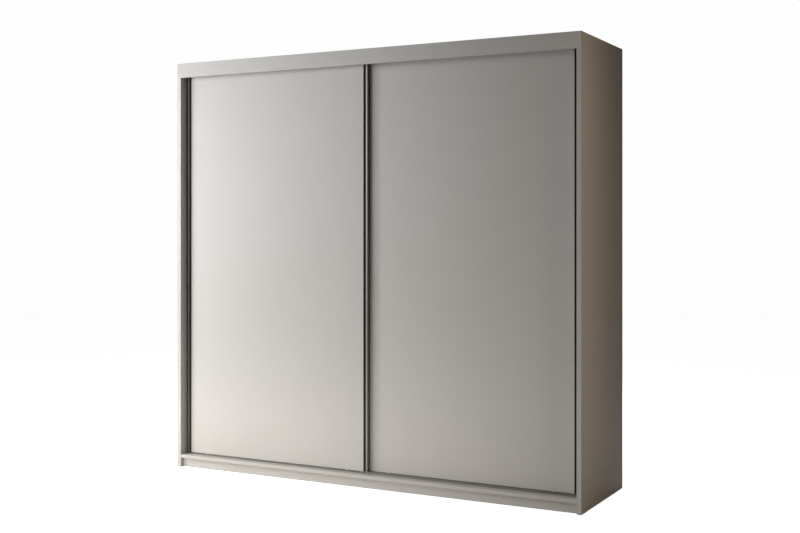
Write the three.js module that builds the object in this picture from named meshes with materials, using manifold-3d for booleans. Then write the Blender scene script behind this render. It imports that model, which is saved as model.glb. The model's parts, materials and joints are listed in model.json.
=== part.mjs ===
// Sliding door wardrobe: a laminated board carcass with two doors on a double track.
// Millimetres, +Z up, the front faces -Y, and the origin is on the floor under the
// middle of the wardrobe. The left door runs on the front track, the right door behind it.

import * as THREE from "three";
import { mergeVertices } from "three/addons/utils/BufferGeometryUtils.js";
import Module from "manifold-3d";

// Overall size
const WIDTH = 2200;
const HEIGHT = 2100;
const DEPTH = 600;

// Boards
const SIDE_THICKNESS = 22;
const BOARD_THICKNESS = 18;
const BACK_THICKNESS = 3;
const BACK_INSET = 2; // the back stops this far inside the outline
const FASCIA_HEIGHT = 73.5;
const BASE_HEIGHT = 50; // floor to the underside of the bottom panel
const PLINTH_SETBACK = 20;
const REAR_PLINTH_SETBACK = 39;
const GLIDE_HEIGHT = 3;
const GLIDE_RADIUS = 9;
const GLIDE_INSET = 60; // from the front and back edges

// Doors and tracks
const DOOR_THICKNESS = 18;
const FRONT_DOOR_RECESS = 45; // carcass front to the front door's face
const TRACK_PITCH = 24; // front track to rear track
const DOOR_SIDE_GAP = 12; // closed door to side panel, filled by the edge brush
const DOOR_BOTTOM = 76;
const DOOR_TOP = 2052;
const TRACK_WALL = 1.5;
const TRACK_END_GAP = 0.5;
const TOP_TRACK_HEIGHT = 20;
const BOTTOM_TRACK_WIDTH = 54;
const BOTTOM_TRACK_BASE = 2;
const RUNNING_RIB_HEIGHT = 4;
const RUNNING_RIB_WIDTH = 2;

// Handle profile: a channel with a hooked front lip, one on each upright door edge
const PROFILE_WIDTH = 22;
const PROFILE_WALL = 1.5;
const PROFILE_LIP = 8;
const DOOR_OVERLAP = PROFILE_WIDTH; // the front door hides the rear door's profile

// Door hardware
const WHEEL_RADIUS = 13;
const WHEEL_GROOVE_RADIUS = 11;
const WHEEL_GROOVE_WIDTH = 2.4;
const WHEEL_WIDTH = 6;
const AXLE_RADIUS = 1.75;
const FIT_GAP = 0.3; // between pieces that are let into each other
const AXLE_GAP = 0.1; // around the axle, in the wheel and in the cheeks
const RUNNING_GAP = 0.2; // wheel groove to running rib
const WHEEL_GROOVE_FLARE = 0.8; // the groove widens this much on each side
const WHEEL_END_GAP = 1.5; // around the wheel's rim in its carriage
const WHEEL_SIDE_GAP = 0.5; // wheel to each cheek
const CARRIAGE_LENGTH = 60;
const CARRIAGE_WIDTH = 11;
const CARRIAGE_HEIGHT = 31;
const CARRIAGE_INSET = 120; // door edge to axle
const CARRIAGE_LIFT = 1; // door's bottom edge to the carriage's underside
const GUIDE_LENGTH = 40;
const GUIDE_INSET = 60;
const GUIDE_STEM_WIDTH = 12;
const GUIDE_STEM_DEPTH = 14;
const GUIDE_HEAD_WIDTH = 20;
const GUIDE_HEAD_HEIGHT = 20;
const STOP_LENGTH = 25;
const STOP_WIDTH = 21;
const STOP_HEIGHT = 16;
const BRUSH_WIDTH = 8;
const BRUSH_CLEARANCE = 0.5;

// Interior
const PARTITION_FRONT_GAP = 8; // behind the rear door
const SHELF_SETBACK = 10; // behind the partition's front edge
const TOP_SHELF_HEIGHT = 1750; // to its upper face
const LEFT_SHELF_HEIGHTS = [410, 745, 1080, 1415];
const RAIL_DROP = 70; // top shelf's underside to the rail's axis
const RAIL_RADIUS = 12.5;
const RAIL_WALL = 1.5;
const SOCKET_FLANGE_RADIUS = 22;
const SOCKET_COLLAR_RADIUS = 15.5;
const SOCKET_FLANGE_THICKNESS = 3;
const SOCKET_DEPTH = 14;
const BRACKET_LEG = 30;
const BRACKET_THICKNESS = 3;
const BRACKET_LENGTH = 40;
const BRACKET_HOLE_RADIUS = 2.5;
const BRACKET_X = 620;

const ROUND_STEPS = 24;
const SMALL_ROUND_STEPS = 16;

// Faces that several pieces share
const outerX = WIDTH / 2;
const innerX = outerX - SIDE_THICKNESS;
const frontY = -DEPTH / 2;
const backY = DEPTH / 2;
const carcassBackY = backY - BACK_THICKNESS;
const fasciaBackY = frontY + BOARD_THICKNESS;
const fasciaBottom = HEIGHT - FASCIA_HEIGHT;
const topUnderside = HEIGHT - BOARD_THICKNESS;
const bottomTop = BASE_HEIGHT + BOARD_THICKNESS;
const frontTrackY = frontY + FRONT_DOOR_RECESS + DOOR_THICKNESS / 2;
const rearTrackY = frontTrackY + TRACK_PITCH;
const trackMiddleY = (frontTrackY + rearTrackY) / 2;
const partitionX = BOARD_THICKNESS / 2;
const partitionFrontY = rearTrackY + DOOR_THICKNESS / 2 + PARTITION_FRONT_GAP;
const shelfFrontY = partitionFrontY + SHELF_SETBACK;
const railY = (partitionFrontY + carcassBackY) / 2;
const railZ = TOP_SHELF_HEIGHT - BOARD_THICKNESS - RAIL_DROP;
const ribTop = bottomTop + BOTTOM_TRACK_BASE + RUNNING_RIB_HEIGHT;
const axleZ = ribTop + WHEEL_GROOVE_RADIUS + RUNNING_GAP;
const doorEdgeX = innerX - DOOR_SIDE_GAP;
const doorMeetingX = DOOR_OVERLAP / 2;
const doorWidth = doorEdgeX + doorMeetingX;
const doorHeight = DOOR_TOP - DOOR_BOTTOM;

const finishes = {
  laminate: { color: 0xb7b2ac, roughness: 0.55, metalness: 0 },
  back_board: { color: 0xc2beb8, roughness: 0.7, metalness: 0 },
  aluminium: { color: 0xb9b8b6, roughness: 0.35, metalness: 0.9 },
  steel: { color: 0x9a9b9d, roughness: 0.3, metalness: 1 },
  nylon: { color: 0xd8d8d4, roughness: 0.5, metalness: 0 },
  dark_plastic: { color: 0x2b2b2c, roughness: 0.6, metalness: 0 },
  brush_pile: { color: 0x1d1c1c, roughness: 0.95, metalness: 0 },
};

const wasm = await Module();
wasm.setup();

const wardrobe = new THREE.Group();

function place(name, finish, geometry, x = 0, y = 0, z = 0) {
  const mesh = new THREE.Mesh(geometry, new THREE.MeshStandardMaterial(finishes[finish]));
  mesh.name = name;
  mesh.position.set(x, y, z);
  wardrobe.add(mesh);
  return mesh;
}

// A box between two corners, with its geometry already in the wardrobe's frame.
function boxBetween([x0, x1], [y0, y1], [z0, z1]) {
  const box = new THREE.BoxGeometry(x1 - x0, y1 - y0, z1 - z0);
  return box.translate((x0 + x1) / 2, (y0 + y1) / 2, (z0 + z1) / 2);
}

function board(name, finish, x, y, z) {
  return place(name, finish, boxBetween(x, y, z));
}

// An outline of [y, z] points drawn out along X.
function prismAlongX(outline, [x0, x1], holes = []) {
  const shape = new THREE.Shape(outline.map(([y, z]) => new THREE.Vector2(y, z)));
  shape.holes.push(...holes);
  const options = { depth: x1 - x0, bevelEnabled: false, curveSegments: ROUND_STEPS / 2 };
  const turn = new THREE.Matrix4().makeBasis(
    new THREE.Vector3(0, 1, 0),
    new THREE.Vector3(0, 0, 1),
    new THREE.Vector3(1, 0, 0),
  );
  return new THREE.ExtrudeGeometry(shape, options).applyMatrix4(turn).translate(x0, 0, 0);
}

function solidFrom(geometry) {
  const bare = geometry.clone();
  bare.deleteAttribute("normal");
  bare.deleteAttribute("uv");
  const merged = mergeVertices(bare);
  return new wasm.Manifold(
    new wasm.Mesh({
      numProp: 3,
      vertProperties: merged.attributes.position.array,
      triVerts: new Uint32Array(merged.index.array),
    }),
  );
}

function geometryFrom(solid) {
  const mesh = solid.getMesh();
  const geometry = new THREE.BufferGeometry();
  geometry.setAttribute("position", new THREE.BufferAttribute(mesh.vertProperties, 3));
  geometry.setIndex(new THREE.BufferAttribute(mesh.triVerts, 1));
  geometry.computeVertexNormals();
  return geometry;
}

function cut(geometry, cutters) {
  const start = solidFrom(geometry);
  return geometryFrom(cutters.reduce((left, cutter) => left.subtract(solidFrom(cutter)), start));
}

// Carcass -------------------------------------------------------------------------------

// A side panel is notched at its top front corner, so that the fascia covers its edge.
function addSidePanel(name, x) {
  const outline = [
    [frontY, GLIDE_HEIGHT],
    [carcassBackY, GLIDE_HEIGHT],
    [carcassBackY, HEIGHT],
    [fasciaBackY, HEIGHT],
    [fasciaBackY, fasciaBottom],
    [frontY, fasciaBottom],
  ];
  place(name, "laminate", prismAlongX(outline, x));
}

function addCarcass() {
  addSidePanel("left_side_panel", [-outerX, -innerX]);
  addSidePanel("right_side_panel", [innerX, outerX]);

  const inside = [-innerX, innerX];
  board("top_panel", "laminate", inside, [fasciaBackY, carcassBackY], [topUnderside, HEIGHT]);
  board("bottom_panel", "laminate", inside, [frontY, carcassBackY], [BASE_HEIGHT, bottomTop]);
  board("front_fascia", "laminate", [-outerX, outerX], [frontY, fasciaBackY], [fasciaBottom, HEIGHT]);

  const backZ = [BASE_HEIGHT, HEIGHT - BACK_INSET];
  const backLayer = [carcassBackY, backY];
  board("left_back_panel", "back_board", [-outerX + BACK_INSET, 0], backLayer, backZ);
  board("right_back_panel", "back_board", [0, outerX - BACK_INSET], backLayer, backZ);
}

function addBase() {
  const plinthFrontY = frontY + PLINTH_SETBACK;
  const plinthBackY = plinthFrontY + BOARD_THICKNESS;
  const rearPlinthBackY = carcassBackY - REAR_PLINTH_SETBACK;
  const rearPlinthFrontY = rearPlinthBackY - BOARD_THICKNESS;
  const inside = [-innerX, innerX];
  const plinthZ = [GLIDE_HEIGHT, BASE_HEIGHT];
  board("front_plinth", "laminate", inside, [plinthFrontY, plinthBackY], plinthZ);
  board("rear_plinth", "laminate", inside, [rearPlinthFrontY, rearPlinthBackY], plinthZ);
  const acrossY = [plinthBackY, rearPlinthFrontY];
  board("plinth_cross_rail", "laminate", [-partitionX, partitionX], acrossY, plinthZ);

  const sideMiddleX = outerX - SIDE_THICKNESS / 2;
  const columns = { left: -sideMiddleX, centre: 0, right: sideMiddleX };
  const rows = { front: frontY + GLIDE_INSET, rear: rearPlinthFrontY - GLIDE_INSET };
  for (const [column, x] of Object.entries(columns)) {
    for (const [row, y] of Object.entries(rows)) {
      const disc = new THREE.CylinderGeometry(GLIDE_RADIUS, GLIDE_RADIUS, GLIDE_HEIGHT, ROUND_STEPS);
      const glide = place(`glide_${column}_${row}`, "dark_plastic", disc, x, y, GLIDE_HEIGHT / 2);
      glide.rotation.x = Math.PI / 2;
    }
  }
}

// Interior ------------------------------------------------------------------------------

function addShelf(name, x, topZ) {
  board(name, "laminate", x, [shelfFrontY, carcassBackY], [topZ - BOARD_THICKNESS, topZ]);
}

function addShelves() {
  const upright = [-partitionX, partitionX];
  board("centre_partition", "laminate", upright, [partitionFrontY, carcassBackY], [bottomTop, topUnderside]);
  const leftBay = [-innerX, -partitionX];
  const rightBay = [partitionX, innerX];
  addShelf("left_top_shelf", leftBay, TOP_SHELF_HEIGHT);
  addShelf("right_top_shelf", rightBay, TOP_SHELF_HEIGHT);
  LEFT_SHELF_HEIGHTS.forEach((height, i) => addShelf(`left_shelf_${i + 1}`, leftBay, height));
}

function addHangingRail() {
  const endGap = SOCKET_FLANGE_THICKNESS + FIT_GAP;
  const outer = new THREE.Path().absarc(railY, railZ, RAIL_RADIUS, 0, 2 * Math.PI);
  const bore = new THREE.Path().absarc(railY, railZ, RAIL_RADIUS - RAIL_WALL, 0, 2 * Math.PI);
  const points = outer.getPoints(ROUND_STEPS / 2).slice(0, -1);
  const outline = points.map((p) => [p.x, p.y]);
  const tube = prismAlongX(outline, [partitionX + endGap, innerX - endGap], [bore]);
  place("hanging_rail", "steel", tube);

  const cup = [
    [0, 0],
    [SOCKET_FLANGE_RADIUS, 0],
    [SOCKET_FLANGE_RADIUS, SOCKET_FLANGE_THICKNESS],
    [SOCKET_COLLAR_RADIUS, SOCKET_FLANGE_THICKNESS],
    [SOCKET_COLLAR_RADIUS, SOCKET_DEPTH],
    [RAIL_RADIUS + FIT_GAP, SOCKET_DEPTH],
    [RAIL_RADIUS + FIT_GAP, SOCKET_FLANGE_THICKNESS],
    [0, SOCKET_FLANGE_THICKNESS],
  ].map(([radius, along]) => new THREE.Vector2(radius, along));
  for (const [side, x, turn] of [["left", partitionX, -1], ["right", innerX, 1]]) {
    const socket = new THREE.LatheGeometry(cup, ROUND_STEPS);
    place(`rail_socket_${side}`, "steel", socket, x, railY, railZ).rotation.z = (turn * Math.PI) / 2;
  }
}

// Angle brackets under the top panel, screwed through the back into the wall behind.
function addWallBrackets() {
  const corner = [carcassBackY, topUnderside];
  const outline = [
    corner,
    [corner[0], corner[1] - BRACKET_LEG],
    [corner[0] - BRACKET_THICKNESS, corner[1] - BRACKET_LEG],
    [corner[0] - BRACKET_THICKNESS, corner[1] - BRACKET_THICKNESS],
    [corner[0] - BRACKET_LEG, corner[1] - BRACKET_THICKNESS],
    [corner[0] - BRACKET_LEG, corner[1]],
  ];
  const legMiddle = BRACKET_LEG / 2 + BRACKET_THICKNESS / 2;
  for (const [side, x] of [["left", -BRACKET_X], ["right", BRACKET_X]]) {
    const angle = prismAlongX(outline, [x - BRACKET_LENGTH / 2, x + BRACKET_LENGTH / 2]);
    const drill = new THREE.CylinderGeometry(
      BRACKET_HOLE_RADIUS,
      BRACKET_HOLE_RADIUS,
      BRACKET_LEG,
      SMALL_ROUND_STEPS,
    );
    const wallHole = drill.clone().translate(x, corner[0], corner[1] - legMiddle);
    const boardHole = drill.clone().rotateX(Math.PI / 2).translate(x, corner[0] - legMiddle, corner[1]);
    place(`wall_bracket_${side}`, "steel", cut(angle, [wallHole, boardHole]));
  }
}

// Tracks --------------------------------------------------------------------------------

const trackX = [-innerX + TRACK_END_GAP, innerX - TRACK_END_GAP];

// Two channels side by side, open below: a web with three legs.
function addTopTrack() {
  const webUnderside = topUnderside - TRACK_WALL;
  const legEnd = topUnderside - TOP_TRACK_HEIGHT;
  const outline = [];
  for (const legY of [-TRACK_PITCH, 0, TRACK_PITCH].map((offset) => trackMiddleY + offset)) {
    outline.push([legY - TRACK_WALL / 2, webUnderside]);
    outline.push([legY - TRACK_WALL / 2, legEnd]);
    outline.push([legY + TRACK_WALL / 2, legEnd]);
    outline.push([legY + TRACK_WALL / 2, webUnderside]);
  }
  outline[0][1] = topUnderside;
  outline[outline.length - 1][1] = topUnderside;
  place("top_track", "aluminium", prismAlongX(outline, trackX));
}

// A flat base with one upright running rib under each door.
function addBottomTrack() {
  const baseTop = bottomTop + BOTTOM_TRACK_BASE;
  const outline = [
    [trackMiddleY + BOTTOM_TRACK_WIDTH / 2, baseTop],
    [trackMiddleY + BOTTOM_TRACK_WIDTH / 2, bottomTop],
    [trackMiddleY - BOTTOM_TRACK_WIDTH / 2, bottomTop],
    [trackMiddleY - BOTTOM_TRACK_WIDTH / 2, baseTop],
  ];
  for (const ribY of [frontTrackY, rearTrackY]) {
    outline.push([ribY - RUNNING_RIB_WIDTH / 2, baseTop]);
    outline.push([ribY - RUNNING_RIB_WIDTH / 2, ribTop]);
    outline.push([ribY + RUNNING_RIB_WIDTH / 2, ribTop]);
    outline.push([ribY + RUNNING_RIB_WIDTH / 2, baseTop]);
  }
  place("bottom_track", "aluminium", prismAlongX(outline, trackX));
}

// Blocks in the top channels that the doors' guides meet at each end of the travel.
function addTrackStops() {
  const near = doorEdgeX - GUIDE_INSET + GUIDE_LENGTH / 2 + BRUSH_CLEARANCE;
  const stopTop = topUnderside - TRACK_WALL;
  for (const [track, y] of [["front", frontTrackY], ["rear", rearTrackY]]) {
    for (const [side, x] of [["left", [-near - STOP_LENGTH, -near]], ["right", [near, near + STOP_LENGTH]]]) {
      const across = [y - STOP_WIDTH / 2, y + STOP_WIDTH / 2];
      board(`track_stop_${track}_${side}`, "dark_plastic", x, across, [stopTop - STOP_HEIGHT, stopTop]);
    }
  }
}

// Doors ---------------------------------------------------------------------------------

// The channel's section from the door's outer edge inwards. inward is +1 or -1 along X.
function handleProfile(edgeX, inward, trackY) {
  const faceY = trackY - DOOR_THICKNESS / 2;
  const backFaceY = trackY + DOOR_THICKNESS / 2;
  const section = [
    [0, faceY],
    [PROFILE_LIP, faceY],
    [PROFILE_LIP, faceY + PROFILE_WALL],
    [PROFILE_WALL, faceY + PROFILE_WALL],
    [PROFILE_WALL, backFaceY - PROFILE_WALL],
    [PROFILE_WIDTH - PROFILE_WALL, backFaceY - PROFILE_WALL],
    [PROFILE_WIDTH - PROFILE_WALL, faceY],
    [PROFILE_WIDTH, faceY],
    [PROFILE_WIDTH, backFaceY],
    [0, backFaceY],
  ];
  const points = section.map(([across, y]) => new THREE.Vector2(edgeX + inward * across, y));
  const bar = new THREE.ExtrudeGeometry(new THREE.Shape(points), { depth: doorHeight, bevelEnabled: false });
  return bar.translate(0, 0, DOOR_BOTTOM);
}

// A blind pocket for a carriage in the panel's bottom edge.
function carriagePocket(x, trackY) {
  const halfLength = CARRIAGE_LENGTH / 2 + FIT_GAP;
  const halfWidth = CARRIAGE_WIDTH / 2 + FIT_GAP;
  const ceiling = DOOR_BOTTOM + CARRIAGE_LIFT + CARRIAGE_HEIGHT + FIT_GAP;
  return boxBetween(
    [x - halfLength, x + halfLength],
    [trackY - halfWidth, trackY + halfWidth],
    [DOOR_BOTTOM - CARRIAGE_HEIGHT, ceiling],
  );
}

// A blind pocket for a guide's stem in the panel's top edge.
function guidePocket(x, trackY) {
  const halfLength = GUIDE_LENGTH / 2 + FIT_GAP;
  const halfWidth = GUIDE_STEM_WIDTH / 2 + FIT_GAP;
  return boxBetween(
    [x - halfLength, x + halfLength],
    [trackY - halfWidth, trackY + halfWidth],
    [DOOR_TOP - GUIDE_STEM_DEPTH, DOOR_TOP + GUIDE_STEM_DEPTH],
  );
}

function axleBore(x, trackY, radius, length) {
  return new THREE.CylinderGeometry(radius, radius, length, SMALL_ROUND_STEPS).translate(x, trackY, axleZ);
}

// A housing with two cheeks that hold the wheel's axle between them.
function carriageHousing(x, trackY) {
  const bottom = DOOR_BOTTOM + CARRIAGE_LIFT;
  const block = boxBetween(
    [x - CARRIAGE_LENGTH / 2, x + CARRIAGE_LENGTH / 2],
    [trackY - CARRIAGE_WIDTH / 2, trackY + CARRIAGE_WIDTH / 2],
    [bottom, bottom + CARRIAGE_HEIGHT],
  );
  const wheelRoom = WHEEL_RADIUS + WHEEL_END_GAP;
  const slotHalfWidth = WHEEL_WIDTH / 2 + WHEEL_SIDE_GAP;
  const slot = boxBetween(
    [x - wheelRoom, x + wheelRoom],
    [trackY - slotHalfWidth, trackY + slotHalfWidth],
    [bottom - wheelRoom, axleZ + wheelRoom],
  );
  return cut(block, [slot, axleBore(x, trackY, AXLE_RADIUS + AXLE_GAP, CARRIAGE_WIDTH * 2)]);
}

// A grooved wheel around its own Y axis; the groove straddles the running rib.
function wheelGeometry() {
  const half = WHEEL_WIDTH / 2;
  const grooveHalf = WHEEL_GROOVE_WIDTH / 2;
  const flangeHalf = grooveHalf + WHEEL_GROOVE_FLARE;
  const boreRadius = AXLE_RADIUS + AXLE_GAP;
  const profile = [
    [boreRadius, -half],
    [WHEEL_RADIUS, -half],
    [WHEEL_RADIUS, -flangeHalf],
    [WHEEL_GROOVE_RADIUS, -grooveHalf],
    [WHEEL_GROOVE_RADIUS, grooveHalf],
    [WHEEL_RADIUS, flangeHalf],
    [WHEEL_RADIUS, half],
    [boreRadius, half],
    [boreRadius, -half],
  ].map(([radius, along]) => new THREE.Vector2(radius, along));
  return new THREE.LatheGeometry(profile, ROUND_STEPS);
}

// A T in section: the stem sits in the door, and the head runs in the top channel.
function guideGeometry(x, trackY) {
  const stem = GUIDE_STEM_WIDTH / 2;
  const head = GUIDE_HEAD_WIDTH / 2;
  const shoulder = DOOR_TOP + FIT_GAP;
  const outline = [
    [trackY - stem, DOOR_TOP - GUIDE_STEM_DEPTH + FIT_GAP],
    [trackY + stem, DOOR_TOP - GUIDE_STEM_DEPTH + FIT_GAP],
    [trackY + stem, shoulder],
    [trackY + head, shoulder],
    [trackY + head, DOOR_TOP + GUIDE_HEAD_HEIGHT],
    [trackY - head, DOOR_TOP + GUIDE_HEAD_HEIGHT],
    [trackY - head, shoulder],
    [trackY - stem, shoulder],
  ];
  return prismAlongX(outline, [x - GUIDE_LENGTH / 2, x + GUIDE_LENGTH / 2]);
}

// side is -1 for the left door and +1 for the right door.
function addDoor(name, side, trackY) {
  const outerEdge = side * doorEdgeX;
  const meetingEdge = outerEdge - side * doorWidth;
  const inset = (edge, inward, distance) => edge + inward * distance;
  const stations = [
    ["outer", outerEdge, -side],
    ["inner", meetingEdge, side],
  ];

  const panelEdges = stations.map(([, edge, inward]) => inset(edge, inward, PROFILE_WIDTH));
  const faceY = trackY - DOOR_THICKNESS / 2;
  const panel = boxBetween(
    [Math.min(...panelEdges), Math.max(...panelEdges)],
    [faceY, faceY + DOOR_THICKNESS],
    [DOOR_BOTTOM, DOOR_TOP],
  );
  const pockets = stations.flatMap(([, edge, inward]) => [
    carriagePocket(inset(edge, inward, CARRIAGE_INSET), trackY),
    guidePocket(inset(edge, inward, GUIDE_INSET), trackY),
  ]);
  place(`${name}_panel`, "laminate", cut(panel, pockets));

  for (const [end, edge, inward] of stations) {
    const axleX = inset(edge, inward, CARRIAGE_INSET);
    place(`${name}_${end}_handle_profile`, "aluminium", handleProfile(edge, inward, trackY));
    place(`${name}_${end}_carriage`, "nylon", carriageHousing(axleX, trackY));
    place(`${name}_${end}_axle`, "steel", axleBore(axleX, trackY, AXLE_RADIUS, CARRIAGE_WIDTH));
    place(`${name}_${end}_wheel`, "nylon", wheelGeometry(), axleX, trackY, axleZ);
    place(`${name}_${end}_guide`, "nylon", guideGeometry(inset(edge, inward, GUIDE_INSET), trackY));
  }

  const brushReach = DOOR_SIDE_GAP - BRUSH_CLEARANCE;
  const brushX = [outerEdge, outerEdge + side * brushReach].sort((a, b) => a - b);
  const brushY = [trackY - BRUSH_WIDTH / 2, trackY + BRUSH_WIDTH / 2];
  board(`${name}_edge_brush`, "brush_pile", brushX, brushY, [DOOR_BOTTOM, DOOR_TOP]);
}

// A pile strip on the back of the front door that closes the gap to the rear door's lip.
function addMeetingBrush() {
  const doorBackY = frontTrackY + DOOR_THICKNESS / 2;
  const reach = TRACK_PITCH - DOOR_THICKNESS - BRUSH_CLEARANCE;
  const x = [-doorMeetingX, -doorMeetingX + BRUSH_WIDTH];
  board("left_door_meeting_brush", "brush_pile", x, [doorBackY, doorBackY + reach], [DOOR_BOTTOM, DOOR_TOP]);
}

addCarcass();
addBase();
addShelves();
addHangingRail();
addWallBrackets();
addTopTrack();
addBottomTrack();
addTrackStops();
addDoor("left_door", -1, frontTrackY);
addDoor("right_door", 1, rearTrackY);
addMeetingBrush();

export default wardrobe;
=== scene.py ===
"""Looks for the sliding door wardrobe: boards with banded edges, satin metal, pile strips, studio light."""

import json
import math
import random

import bmesh
import bpy
from mathutils import Matrix, Vector


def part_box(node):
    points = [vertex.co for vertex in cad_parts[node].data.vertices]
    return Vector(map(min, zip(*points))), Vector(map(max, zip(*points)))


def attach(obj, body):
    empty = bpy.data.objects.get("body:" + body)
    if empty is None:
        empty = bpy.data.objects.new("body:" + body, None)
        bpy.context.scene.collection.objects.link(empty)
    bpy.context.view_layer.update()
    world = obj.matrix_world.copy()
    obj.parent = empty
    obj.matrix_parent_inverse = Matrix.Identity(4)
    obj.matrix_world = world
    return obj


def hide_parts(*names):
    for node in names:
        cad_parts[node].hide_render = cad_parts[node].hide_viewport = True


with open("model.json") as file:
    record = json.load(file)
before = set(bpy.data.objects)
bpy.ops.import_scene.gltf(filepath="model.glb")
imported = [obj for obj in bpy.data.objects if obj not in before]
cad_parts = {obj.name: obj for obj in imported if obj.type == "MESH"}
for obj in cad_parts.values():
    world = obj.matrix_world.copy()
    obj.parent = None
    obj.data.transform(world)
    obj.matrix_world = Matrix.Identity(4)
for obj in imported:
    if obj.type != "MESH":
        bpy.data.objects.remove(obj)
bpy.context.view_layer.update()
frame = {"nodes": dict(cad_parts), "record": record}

NODES = frame["nodes"]
BODY_OF = {
    node: body
    for body, members in frame["record"]["behaviour"]["bodies"].items()
    for node in members
}
SLOT_OF = {part["node"]: part["material_slot"] for part in frame["record"]["subparts"]}

# Camera: level, at chest height, to the right of the front
CAMERA_PLACE = (2.7525, -5.097, 1.250)
CAMERA_TURN = math.radians(27.9)
CAMERA_LENS_MM = 52.16
CAMERA_SHIFT_Y = -0.0493

# Colours that several materials share
LAMINATE = (0.50, 0.475, 0.445)
SATIN_METAL = (0.27, 0.26, 0.245)
ZINC = (0.6, 0.6, 0.61)
NYLON = (0.72, 0.71, 0.67)
DARK_PLASTIC = (0.03, 0.03, 0.031)
PILE = (0.018, 0.017, 0.017)

# Cleaning the CAD meshes: corners this close are one, and faces this parallel are one
MERGE_DISTANCE = 1e-5
FLAT_ANGLE = math.radians(1)

# Outward edges sharper than BEVEL_ANGLE are eased. Edges still sharper than CREASE_ANGLE stay crisp.
BEVEL_ANGLE = math.radians(30)
CREASE_ANGLE = math.radians(50)
FITTING_CREASE_ANGLE = math.radians(40)

# Boards
EDGE_RADIUS = 0.0008
EDGE_STEPS = 3
GLUE_LINE = 0.0003
EDGE_FACE_WIDTH = 0.03  # a face narrower than this is a banded edge

# Metal and moulded parts
SMALL_EDGE_RADIUS = 0.0003
SMALL_EDGE_STEPS = 2

# Fasteners and fittings
ROUND_STEPS = 16
SCREW_RADIUS = 0.0028
SCREW_RISE = 0.0012
SCREW_CROSS = 0.35  # how far the recess is pulled in between its four points
TRACK_SCREWS = 6
TRACK_SCREW_INSET = 0.15
SOCKET_SCREW_MARGIN = 0.0005
NAIL_RADIUS = 0.003
NAIL_RISE = 0.0006
NAIL_PITCH = 0.12
NAIL_INSET = 0.009
PIN_RADIUS = 0.0025
PIN_LENGTH = 0.009
CAM_RADIUS = 0.0085
CAM_RISE = 0.0008
CAM_INSET = 0.034
# Pin holes are flat dark discs that stand a hair proud of the board: painted shade where the holes would be
HOLE_RADIUS = 0.0025
HOLE_RISE = 0.0001
HOLE_PITCH = 0.032
HOLE_ROW_INSET = 0.037
FIRST_HOLE = 0.1

# CAD wall thicknesses that the frame's boxes don't give
TRACK_BASE = 0.002
BRACKET_PLATE = 0.003
SOCKET_FLANGE = 0.003

# Pile strips
TUFT_PITCH = 0.002
TUFT_GAP = 0.0004
TUFT_TAPER = 0.8
TUFT_LEAN = 0.0004
TUFT_SHORTEST = 0.9  # of the full reach
PILE_BACKING = 0.001
PILE_HALF_WIDTH = 0.0022

# Stage
FLOOR_COLOUR = (0.76, 0.755, 0.745)
FLOOR_GLOW = (0.95, 0.95, 0.955)
FLOOR_RADIUS = 14
FLOOR_SOLID_RADIUS = 5  # the floor fades out from here to its rim
BACKGROUND = (0.985, 0.985, 0.99)
AMBIENT = (0.043, 0.037, 0.032)
COOL_LIGHT = (0.97, 1.0, 1.025)
WARM_LIGHT = (1.0, 0.80, 0.62)
CREAMY_LIGHT = (1.0, 0.965, 0.90)


# Node helpers --------------------------------------------------------------------------

class Nodes:
    """A material's node tree with short calls for the nodes used here."""

    def __init__(self, name):
        self.material = bpy.data.materials.new(name)
        self.material.use_nodes = True
        self.tree = self.material.node_tree
        self.shader = self.tree.nodes["Principled BSDF"]
        self.place = self.add("ShaderNodeTexCoord").outputs["Object"]

    def add(self, kind, **settings):
        node = self.tree.nodes.new(kind)
        for key, value in settings.items():
            setattr(node, key, value)
        return node

    def link(self, source, target):
        self.tree.links.new(source, target)

    def stretched(self, scale):
        mapping = self.add("ShaderNodeMapping")
        mapping.inputs["Scale"].default_value = scale
        self.link(self.place, mapping.inputs["Vector"])
        return mapping.outputs["Vector"]

    def noise(self, scale, detail=2.0, roughness=0.5, stretch=(1, 1, 1)):
        node = self.add("ShaderNodeTexNoise")
        node.inputs["Scale"].default_value = scale
        node.inputs["Detail"].default_value = detail
        node.inputs["Roughness"].default_value = roughness
        self.link(self.stretched(stretch), node.inputs["Vector"])
        return node.outputs["Fac"]

    def between(self, factor, low, high, start=0.3, end=0.7):
        """Maps a noise factor from start..end to low..high."""
        node = self.add("ShaderNodeMapRange")
        node.inputs["From Min"].default_value = start
        node.inputs["From Max"].default_value = end
        node.inputs["To Min"].default_value = low
        node.inputs["To Max"].default_value = high
        self.link(factor, node.inputs["Value"])
        return node.outputs["Result"]

    def blend(self, factor, first, second):
        """Mixes two colours, each a tuple or a socket."""
        node = self.add("ShaderNodeMix", data_type="RGBA")
        self.link(factor, node.inputs["Factor"])
        for value, socket in ((first, node.inputs["A"]), (second, node.inputs["B"])):
            if isinstance(value, tuple):
                socket.default_value = (*value, 1)
            else:
                self.link(value, socket)
        return node.outputs["Result"]

    def bump(self, height, strength, distance, below=None):
        node = self.add("ShaderNodeBump")
        node.inputs["Strength"].default_value = strength
        node.inputs["Distance"].default_value = distance
        self.link(height, node.inputs["Height"])
        if below is not None:
            self.link(below, node.inputs["Normal"])
        return node.outputs["Normal"]

    def finish(self, colour, roughness, normal, **uniform):
        """Connects colour, roughness and normal, and sets each uniform input on the shader itself."""
        self.link(colour, self.shader.inputs["Base Color"])
        self.link(roughness, self.shader.inputs["Roughness"])
        self.link(normal, self.shader.inputs["Normal"])
        for name, value in uniform.items():
            self.shader.inputs[name.replace("_", " ")].default_value = value
        return self.material


def shade(colour, factor):
    return tuple(channel * factor for channel in colour)


# Materials -----------------------------------------------------------------------------

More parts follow.
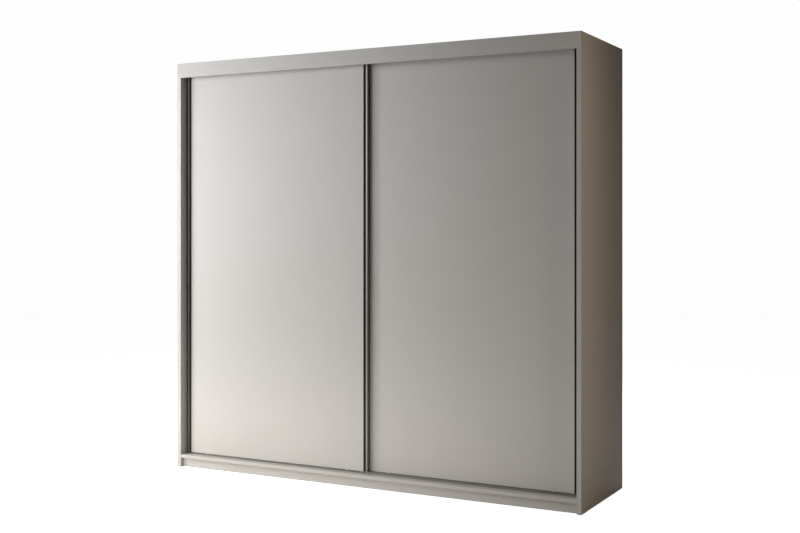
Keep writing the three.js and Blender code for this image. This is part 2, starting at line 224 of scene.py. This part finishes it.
def laminate_material():
    """Melamine face: faint cloudy tone, fine fibre specks and a pearl texture."""
    n = Nodes("laminate_face")
    clouds = n.blend(n.noise(2.2, 3), shade(LAMINATE, 0.975), shade(LAMINATE, 1.02))
    specks = n.between(n.noise(1400, 2, 0.6), 0.0, 1.0, 0.62, 0.75)
    colour = n.blend(specks, clouds, shade(LAMINATE, 0.93))
    roughness = n.between(n.noise(14, 4), 0.42, 0.52)
    pearl = n.bump(n.noise(750, 2, 0.45), 0.16, 0.0002)
    waves = n.bump(n.noise(9, 1), 0.05, 0.002, below=pearl)
    return n.finish(colour, roughness, waves, Specular_IOR_Level=0.45)


def edge_band_material():
    """Plastic edge banding: the board's colour, a little smoother, with cutter marks along it."""
    n = Nodes("edge_band")
    colour = n.blend(n.noise(30, 3), shade(LAMINATE, 0.96), shade(LAMINATE, 1.0))
    roughness = n.between(n.noise(60, 3), 0.33, 0.45)
    marks = n.bump(n.noise(500, 2, 0.5), 0.1, 0.0001)
    return n.finish(colour, roughness, marks, Specular_IOR_Level=0.5)


def glue_line_material():
    """The thin darker line where the edge banding meets the face."""
    n = Nodes("glue_line")
    colour = n.blend(n.noise(200, 2), shade(LAMINATE, 0.55), shade(LAMINATE, 0.7))
    roughness = n.between(n.noise(300, 2), 0.6, 0.75)
    return n.finish(colour, roughness, n.bump(n.noise(900, 2), 0.2, 0.0001))


def back_board_material():
    """Lacquered hardboard: paler, with the press sheet's weave-like texture."""
    n = Nodes("back_board_face")
    tone = shade(LAMINATE, 1.08)
    colour = n.blend(n.noise(5, 4), shade(tone, 0.94), tone)
    fibres = n.between(n.noise(260, 3, 0.7, (1, 1, 0.25)), 0.0, 1.0, 0.5, 0.75)
    colour = n.blend(fibres, colour, shade(tone, 0.9))
    roughness = n.between(n.noise(40, 3), 0.58, 0.72)
    return n.finish(colour, roughness, n.bump(n.noise(520, 3, 0.6), 0.22, 0.0002))


def drawn_metal_material(name, colour, rough, along):
    """Metal with faint lines drawn along one axis."""
    n = Nodes(name)
    across = tuple(1.0 if axis != along else 0.004 for axis in "xyz")
    lines = n.noise(1500, 3, 0.6, across)
    tone = n.blend(n.between(lines, 0.0, 1.0), shade(colour, 0.88), colour)
    roughness = n.between(lines, rough * 0.85, rough * 1.2)
    normal = n.bump(lines, 0.12, 0.00005)
    return n.finish(tone, roughness, normal, Metallic=1.0)


def moulded_material(name, colour, rough):
    """Moulded plastic with a fine spark-eroded texture."""
    n = Nodes(name)
    tone = n.blend(n.noise(90, 3), shade(colour, 0.9), colour)
    roughness = n.between(n.noise(200, 3), rough - 0.06, rough + 0.06)
    return n.finish(tone, roughness, n.bump(n.noise(2200, 2, 0.6), 0.25, 0.00008))


def pile_material():
    """Dark brush fibres, matte with a little sheen."""
    n = Nodes("pile_fibre")
    tone = n.blend(n.noise(900, 3), shade(PILE, 0.6), shade(PILE, 1.5))
    roughness = n.between(n.noise(400, 2), 0.8, 0.95)
    normal = n.bump(n.noise(3000, 3), 0.5, 0.0002)
    return n.finish(tone, roughness, normal, Sheen_Weight=0.15)


def floor_material():
    """A pale matte floor that glows for the camera and fades out, so that it meets the background."""
    n = Nodes("studio_floor")
    colour = n.blend(n.noise(0.8, 3), shade(FLOOR_COLOUR, 0.97), FLOOR_COLOUR)
    roughness = n.between(n.noise(3, 3), 0.7, 0.8)
    material = n.finish(colour, roughness, n.bump(n.noise(60, 3), 0.05, 0.001), Specular_IOR_Level=0.1)
    seen = n.add("ShaderNodeLightPath").outputs["Is Camera Ray"]
    n.shader.inputs["Emission Color"].default_value = (*FLOOR_GLOW, 1)
    n.link(seen, n.shader.inputs["Emission Strength"])
    away = n.add("ShaderNodeVectorMath", operation="LENGTH")
    n.link(n.place, away.inputs[0])
    solid = n.between(away.outputs["Value"], 1.0, 0.0, FLOOR_SOLID_RADIUS, FLOOR_RADIUS)
    n.link(solid, n.shader.inputs["Alpha"])
    return material


# Pieces --------------------------------------------------------------------------------

def add_object(name, mesh):
    piece = bpy.data.objects.new(name, mesh)
    bpy.context.scene.collection.objects.link(piece)
    return piece


def object_from(name, bm, materials):
    mesh = bpy.data.meshes.new(name)
    bm.to_mesh(mesh)
    bm.free()
    for material in materials:
        mesh.materials.append(material)
    return add_object(name, mesh)


def clean_copy(node):
    """The node's solid with shared corners joined and coplanar triangles merged."""
    bm = bmesh.new()
    bm.from_mesh(NODES[node].data)
    bmesh.ops.remove_doubles(bm, verts=bm.verts, dist=MERGE_DISTANCE)
    bmesh.ops.dissolve_limit(bm, angle_limit=FLAT_ANGLE, verts=bm.verts, edges=bm.edges)
    return bm


def round_edges(bm, radius, steps):
    """Eases the outward edges and keeps the inward ones crisp."""
    outward = [edge for edge in bm.edges if edge.is_convex and edge.calc_face_angle(0) > BEVEL_ANGLE]
    bmesh.ops.bevel(
        bm, geom=outward, offset=radius, segments=steps, profile=0.5, affect="EDGES", clamp_overlap=True
    )
    for edge in bm.edges:
        edge.smooth = edge.calc_face_angle(0) < CREASE_ANGLE


def smooth_shading(piece):
    for polygon in piece.data.polygons:
        polygon.use_smooth = True
    weighted = piece.modifiers.new("weighted_normals", "WEIGHTED_NORMAL")
    weighted.keep_sharp = True
    weighted.weight = 100


def face_width(face):
    """The shorter side of a face's box."""
    corners = [vertex.co for vertex in face.verts]
    spans = sorted(max(c[i] for c in corners) - min(c[i] for c in corners) for i in range(3))
    return spans[1]


def stand_for(piece, node):
    """piece replaces a CAD node, and takes its body."""
    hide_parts(node)
    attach(piece, BODY_OF[node])


def make_board(node, face_material, edge_material, seam_material):
    """A board with eased edges, banding on its narrow faces and a glue line round each of those."""
    bm = clean_copy(node)
    round_edges(bm, EDGE_RADIUS, EDGE_STEPS)
    rim = 2 * EDGE_RADIUS
    edges = [face for face in bm.faces if rim < face_width(face) < EDGE_FACE_WIDTH]
    for face in bm.faces:
        face.material_index = 0 if face_width(face) >= EDGE_FACE_WIDTH else 1
    seams = bmesh.ops.inset_individual(bm, faces=edges, thickness=GLUE_LINE, use_even_offset=True)
    for face in seams["faces"]:
        face.material_index = 2
    piece = object_from(f"{node}_board", bm, [face_material, edge_material, seam_material])
    smooth_shading(piece)
    stand_for(piece, node)


def make_small_solid(node, material):
    """A metal or moulded part with its sharp edges eased."""
    bm = clean_copy(node)
    round_edges(bm, SMALL_EDGE_RADIUS, SMALL_EDGE_STEPS)
    piece = object_from(f"{node}_part", bm, [material])
    smooth_shading(piece)
    stand_for(piece, node)


def make_pile_strip(node, material, backing_material, axis, sign):
    """Tufts that stand on a backing strip. axis and sign say which way the pile points."""
    low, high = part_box(node)
    other = 1 - axis
    root = low[axis] if sign > 0 else high[axis]
    reach = (high[axis] - low[axis]) * sign
    middle = (low[other] + high[other]) / 2
    draw = random.Random(node)
    bm = bmesh.new()

    def corner(along, across, z):
        point = [0, 0, z]
        point[axis] = root + along
        point[other] = middle + across
        return bm.verts.new(point)

    def block(along, across, z0, z1, taper, tip_along, lean, material_index):
        base = [corner(along, a, z) for a, z in
                ((-across, z0), (across, z0), (across, z1), (-across, z1))]
        tip_across = across * taper
        tip = [corner(tip_along, a + lean, z) for a, z in
               ((-tip_across, z0), (tip_across, z0), (tip_across, z1), (-tip_across, z1))]
        sides = [(base[i], base[(i + 1) % 4], tip[(i + 1) % 4], tip[i]) for i in range(4)]
        for ring in [base, tip, *sides]:
            bm.faces.new(ring).material_index = material_index

    half = (high[other] - low[other]) / 2
    backing = PILE_BACKING * sign
    block(0, half, low.z, high.z, 1, backing, 0, 1)
    count = int((high.z - low.z) / TUFT_PITCH)
    for i in range(count):
        z0 = low.z + i * TUFT_PITCH
        z1 = z0 + TUFT_PITCH - TUFT_GAP
        tip_along = reach * draw.uniform(TUFT_SHORTEST, 1.0)
        lean = draw.uniform(-TUFT_LEAN, TUFT_LEAN)
        block(backing, PILE_HALF_WIDTH, z0, z1, TUFT_TAPER, tip_along, lean, 0)
    bmesh.ops.recalc_face_normals(bm, faces=bm.faces)
    piece = object_from(f"{node}_pile", bm, [material, backing_material])
    stand_for(piece, node)


# Fasteners and fittings ----------------------------------------------------------------

def add_turned(bm, outline, place, axis, cross=0.0):
    """Turns an outline of (radius, height) points about an axis. cross > 0 pulls in the last but one
    ring between four points, which makes a cross recess."""
    turn = Vector(axis).to_track_quat("Z", "Y").to_matrix().to_4x4()
    seat = Matrix.Translation(place) @ turn
    rings = []
    for level, (radius, height) in enumerate(outline[:-1]):
        recess = cross and level == len(outline) - 2
        ring = []
        for step in range(ROUND_STEPS):
            reach = radius * (cross if recess and step % 4 else 1)
            angle = 2 * math.pi * step / ROUND_STEPS
            point = Vector((reach * math.cos(angle), reach * math.sin(angle), height))
            ring.append(bm.verts.new(seat @ point))
        rings.append(ring)
    for lower, upper in zip(rings, rings[1:]):
        for step in range(ROUND_STEPS):
            ahead = (step + 1) % ROUND_STEPS
            bm.faces.new((lower[step], lower[ahead], upper[ahead], upper[step]))
    tip = bm.verts.new(seat @ Vector((0, 0, outline[-1][1])))
    for step in range(ROUND_STEPS):
        bm.faces.new((rings[-1][step], rings[-1][(step + 1) % ROUND_STEPS], tip))


def make_fittings(name, outline, places, material, body, cross=0.0):
    """One piece that holds the same fitting at each (point, axis) of places."""
    bm = bmesh.new()
    for place, axis in places:
        add_turned(bm, outline, place, axis, cross)
    bmesh.ops.recalc_face_normals(bm, faces=bm.faces)
    piece = object_from(name, bm, [material])
    for polygon in piece.data.polygons:
        polygon.use_smooth = True
    piece.data.set_sharp_from_angle(angle=FITTING_CREASE_ANGLE)
    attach(piece, body)


def screw_outline():
    """A pan head: its rim, its dome and the recess, from outside to the middle."""
    return [
        (SCREW_RADIUS, 0),
        (SCREW_RADIUS, SCREW_RISE * 0.35),
        (SCREW_RADIUS * 0.86, SCREW_RISE * 0.8),
        (SCREW_RADIUS * 0.55, SCREW_RISE),
        (SCREW_RADIUS * 0.5, SCREW_RISE * 0.45),
        (0, SCREW_RISE * 0.2),
    ]


def spaced(low, high, count):
    """count even steps from low to high, both included."""
    return [low + (high - low) * i / (count - 1) for i in range(count)]


def track_screws():
    """Screws up through the top track, down through the bottom track, and up through each end stop."""
    places = []
    top_low, top_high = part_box("top_track")
    bottom_low, bottom_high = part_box("bottom_track")
    wall = top_high.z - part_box("track_stop_front_left")[1].z
    base_top = bottom_low.z + TRACK_BASE
    channels = [sum(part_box(f"{door}_panel"), Vector()).y / 2 for door in ("left_door", "right_door")]
    for x in spaced(top_low.x + TRACK_SCREW_INSET, top_high.x - TRACK_SCREW_INSET, TRACK_SCREWS):
        places += [(Vector((x, y, top_high.z - wall)), (0, 0, -1)) for y in channels]
        places.append((Vector((x, sum(channels) / 2, base_top)), (0, 0, 1)))
    for node in NODES:
        if node.startswith("track_stop"):
            low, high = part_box(node)
            places.append((Vector(((low.x + high.x) / 2, (low.y + high.y) / 2, low.z)), (0, 0, -1)))
    return places


def bracket_screws():
    """One screw in the middle of each leg of each angle bracket."""
    places = []
    for node in ("wall_bracket_left", "wall_bracket_right"):
        low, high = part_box(node)
        x = (low.x + high.x) / 2
        middle = (high.z - low.z + BRACKET_PLATE) / 2
        places.append((Vector((x, high.y - BRACKET_PLATE, high.z - middle)), (0, -1, 0)))
        places.append((Vector((x, high.y - middle, high.z - BRACKET_PLATE)), (0, 0, -1)))
    return places


def socket_screws():
    """Two screws in the flange of each rail socket, above and below the rail."""
    places = []
    for node, out in (("rail_socket_left", 1), ("rail_socket_right", -1)):
        low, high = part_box(node)
        wall = low.x if out > 0 else high.x
        y, z = (low.y + high.y) / 2, (low.z + high.z) / 2
        reach = (high.z - low.z) / 2 - SCREW_RADIUS - SOCKET_SCREW_MARGIN
        for side in (-1, 1):
            places.append((Vector((wall + out * SOCKET_FLANGE, y, z + side * reach)), (out, 0, 0)))
    return places


def hole_rows():
    """The two lines of shelf pin holes, as distances along Y."""
    low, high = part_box("left_shelf_1")
    return low.y + HOLE_ROW_INSET, high.y - HOLE_ROW_INSET


def bay_walls():
    """(x, direction into the bay, bay) of the four board faces that look into the bays."""
    partition_low, partition_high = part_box("centre_partition")
    left_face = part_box("left_side_panel")[1].x
    right_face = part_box("right_side_panel")[0].x
    return (
        (left_face, 1, "left"),
        (partition_low.x, -1, "left"),
        (partition_high.x, 1, "right"),
        (right_face, -1, "right"),
    )


def shelf_pins():
    """Four pins under each loose shelf."""
    places = []
    for node in NODES:
        if node.startswith("left_shelf_"):
            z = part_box(node)[0].z - PIN_RADIUS
            for x, out, bay in bay_walls():
                if bay == "left":
                    places += [(Vector((x, y, z)), (out, 0, 0)) for y in hole_rows()]
    return places


def system_holes():
    """Rows of pin holes, left out where a shelf or a pin covers them. Each hole is a flat dark disc on the
    board: painted shade in place of a real hole.
    """
    shelves = {
        "left": [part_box(n) for n in NODES if n.startswith("left_shelf_") or n == "left_top_shelf"],
        "right": [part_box("right_top_shelf"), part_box("rail_socket_right")],
    }
    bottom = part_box("bottom_panel")[1].z
    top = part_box("top_panel")[0].z
    places = []
    for x, out, bay in bay_walls():
        z = bottom + FIRST_HOLE
        while z < top - FIRST_HOLE:
            covered = any(low.z - 3 * HOLE_RADIUS < z < high.z + HOLE_RADIUS for low, high in shelves[bay])
            if not covered:
                places += [(Vector((x, y, z)), (out, 0, 0)) for y in hole_rows()]
            z += HOLE_PITCH
    return places


def cam_covers():
    """Round covers over the cam bolts, under each fixed board."""
    places = []
    for node in ("left_top_shelf", "right_top_shelf", "top_panel"):
        low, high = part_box(node)
        for x in (low.x + CAM_INSET, high.x - CAM_INSET):
            places += [(Vector((x, y, low.z)), (0, 0, -1)) for y in hole_rows()]
    return places


def back_nails():
    """Nails around each back panel and along the top shelf."""
    places = set()
    shelf_z = sum(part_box("left_top_shelf"), Vector()).z / 2
    for node in ("left_back_panel", "right_back_panel"):
        low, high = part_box(node)
        near_x, far_x = low.x + NAIL_INSET / 2, high.x - NAIL_INSET / 2
        near_z, far_z = low.z + NAIL_INSET, high.z - NAIL_INSET
        for z in spaced(near_z, far_z, round((far_z - near_z) / NAIL_PITCH) + 1):
            places |= {(near_x, high.y, z), (far_x, high.y, z)}
        for x in spaced(near_x, far_x, round((far_x - near_x) / NAIL_PITCH) + 1):
            places |= {(x, high.y, z) for z in (near_z, shelf_z, far_z)}
    return [(Vector(place), (0, 1, 0)) for place in sorted(places)]


def make_all_fittings(steel, hole_shade, cover):
    screws = track_screws() + bracket_screws() + socket_screws()
    make_fittings("fitting_screws", screw_outline(), screws, steel, "carcass", cross=SCREW_CROSS)
    pin = [(PIN_RADIUS, 0), (PIN_RADIUS, PIN_LENGTH * 0.9), (PIN_RADIUS * 0.7, PIN_LENGTH), (0, PIN_LENGTH)]
    make_fittings("shelf_pins", pin, shelf_pins(), steel, "carcass")
    # The pin holes are flat dark discs: painted shade in place of real holes
    hole = [(HOLE_RADIUS, 0), (HOLE_RADIUS, HOLE_RISE), (HOLE_RADIUS * 0.8, HOLE_RISE), (0, HOLE_RISE * 0.2)]
    make_fittings("pin_hole_painted_shade", hole, system_holes(), hole_shade, "carcass")
    cam = [
        (CAM_RADIUS, 0),
        (CAM_RADIUS * 0.95, CAM_RISE),
        (CAM_RADIUS * 0.75, CAM_RISE * 0.9),
        (CAM_RADIUS * 0.7, CAM_RISE * 0.6),
        (0, CAM_RISE * 0.6),
    ]
    make_fittings("cam_covers", cam, cam_covers(), cover, "carcass")
    nail = [
        (NAIL_RADIUS, 0),
        (NAIL_RADIUS * 0.9, NAIL_RISE * 0.6),
        (NAIL_RADIUS * 0.6, NAIL_RISE),
        (0, NAIL_RISE),
    ]
    make_fittings("back_nails", nail, back_nails(), steel, "carcass")


# Stage ---------------------------------------------------------------------------------

def make_floor():
    bm = bmesh.new()
    bmesh.ops.create_circle(bm, cap_ends=True, segments=96, radius=FLOOR_RADIUS)
    floor = object_from("studio_floor", bm, [floor_material()])


def make_world():
    """White behind the wardrobe, and a dim warm fill for what the lights don't reach."""
    world = bpy.data.worlds.new("studio")
    bpy.context.scene.world = world
    world.use_nodes = True
    nodes = world.node_tree.nodes
    links = world.node_tree.links
    seen = nodes["Background"]
    seen.inputs["Color"].default_value = (*BACKGROUND, 1)
    fill = nodes.new("ShaderNodeBackground")
    fill.inputs["Color"].default_value = (*AMBIENT, 1)
    path = nodes.new("ShaderNodeLightPath")
    choose = nodes.new("ShaderNodeMixShader")
    links.new(path.outputs["Is Camera Ray"], choose.inputs[0])
    links.new(fill.outputs[0], choose.inputs[1])
    links.new(seen.outputs[0], choose.inputs[2])
    links.new(choose.outputs[0], nodes["World Output"].inputs["Surface"])


def make_area_light(name, place, target, size, watts, colour):
    """A rectangular light that shines from place towards target."""
    data = bpy.data.lights.new(name, "AREA")
    data.shape = "RECTANGLE"
    data.size, data.size_y = size
    data.energy = watts
    data.color = colour
    light = bpy.data.objects.new(name, data)
    bpy.context.scene.collection.objects.link(light)
    direction = Vector(target) - Vector(place)
    light.location = place
    light.rotation_euler = direction.to_track_quat("-Z", "Y").to_euler()


def make_lights():
    """Two main lights on the left, and weaker ones low in front, on the right, behind and above."""
    make_area_light("key_wide", (-1.8, -2.1, 1.8), (-0.6, -0.25, 1.1), (2.4, 2.0), 50, COOL_LIGHT)
    make_area_light("key_grazing", (-2.0, -1.15, 1.2), (-0.9, -0.25, 1.0), (0.4, 2.0), 15, COOL_LIGHT)
    make_area_light("low_left", (-1.3, -1.0, 0.15), (-0.8, -0.3, 0.05), (1.0, 0.2), 3.0, CREAMY_LIGHT)
    make_area_light("low_centre", (0.0, -1.1, 0.16), (0.2, -0.3, 0.05), (1.6, 0.2), 2.8, CREAMY_LIGHT)
    make_area_light("side_fill", (1.6, -0.42, 1.2), (1.1, -0.25, 1.15), (0.25, 2.2), 2.4, WARM_LIGHT)
    make_area_light("back_fill", (-0.9, 3.2, 2.4), (-0.2, 0.3, 1.0), (1.6, 1.6), 75, COOL_LIGHT)
    make_area_light("top_light", (-0.3, 0.1, 3.4), (-0.3, 0.11, 2.1), (1.6, 0.5), 14, COOL_LIGHT)


def make_camera():
    """A level camera, so that upright edges stay parallel."""
    data = bpy.data.cameras.new("camera")
    data.sensor_width = 36
    data.lens = CAMERA_LENS_MM
    data.shift_y = CAMERA_SHIFT_Y
    camera = bpy.data.objects.new("camera", data)
    bpy.context.scene.collection.objects.link(camera)
    camera.location = CAMERA_PLACE
    camera.rotation_euler = (math.pi / 2, 0, CAMERA_TURN)
    bpy.context.scene.camera = camera


# Build ---------------------------------------------------------------------------------

def dress_wardrobe():
    """Replaces every CAD node by its detailed piece, and adds the fittings."""
    laminate = laminate_material()
    edge_band = edge_band_material()
    glue = glue_line_material()
    back_board = back_board_material()
    upright_metal = drawn_metal_material("satin_aluminium_upright", SATIN_METAL, 0.5, "z")
    level_metal = drawn_metal_material("satin_aluminium_level", SATIN_METAL, 0.5, "x")
    steel = drawn_metal_material("zinc_steel", ZINC, 0.22, "x")
    nylon = moulded_material("nylon_moulding", NYLON, 0.45)
    dark_plastic = moulded_material("dark_moulding", DARK_PLASTIC, 0.5)
    pile = pile_material()
    cover = moulded_material("cam_cover_moulding", shade(LAMINATE, 0.9), 0.4)
    boards = {"laminate": (laminate, edge_band, glue), "back_board": (back_board, back_board, glue)}
    small = {"aluminium": level_metal, "steel": steel, "nylon": nylon, "dark_plastic": dark_plastic}
    for node, slot in SLOT_OF.items():
        if slot in boards:
            make_board(node, *boards[slot])
        elif node.endswith("handle_profile"):
            make_small_solid(node, upright_metal)
        elif slot in small:
            make_small_solid(node, small[slot])
    make_pile_strip("left_door_edge_brush", pile, dark_plastic, 0, -1)
    make_pile_strip("right_door_edge_brush", pile, dark_plastic, 0, 1)
    make_pile_strip("left_door_meeting_brush", pile, dark_plastic, 1, 1)
    make_all_fittings(steel, dark_plastic, cover)


make_camera()
make_world()
make_floor()
make_lights()
dress_wardrobe()

bpy.context.scene.view_settings.view_transform = "Standard"
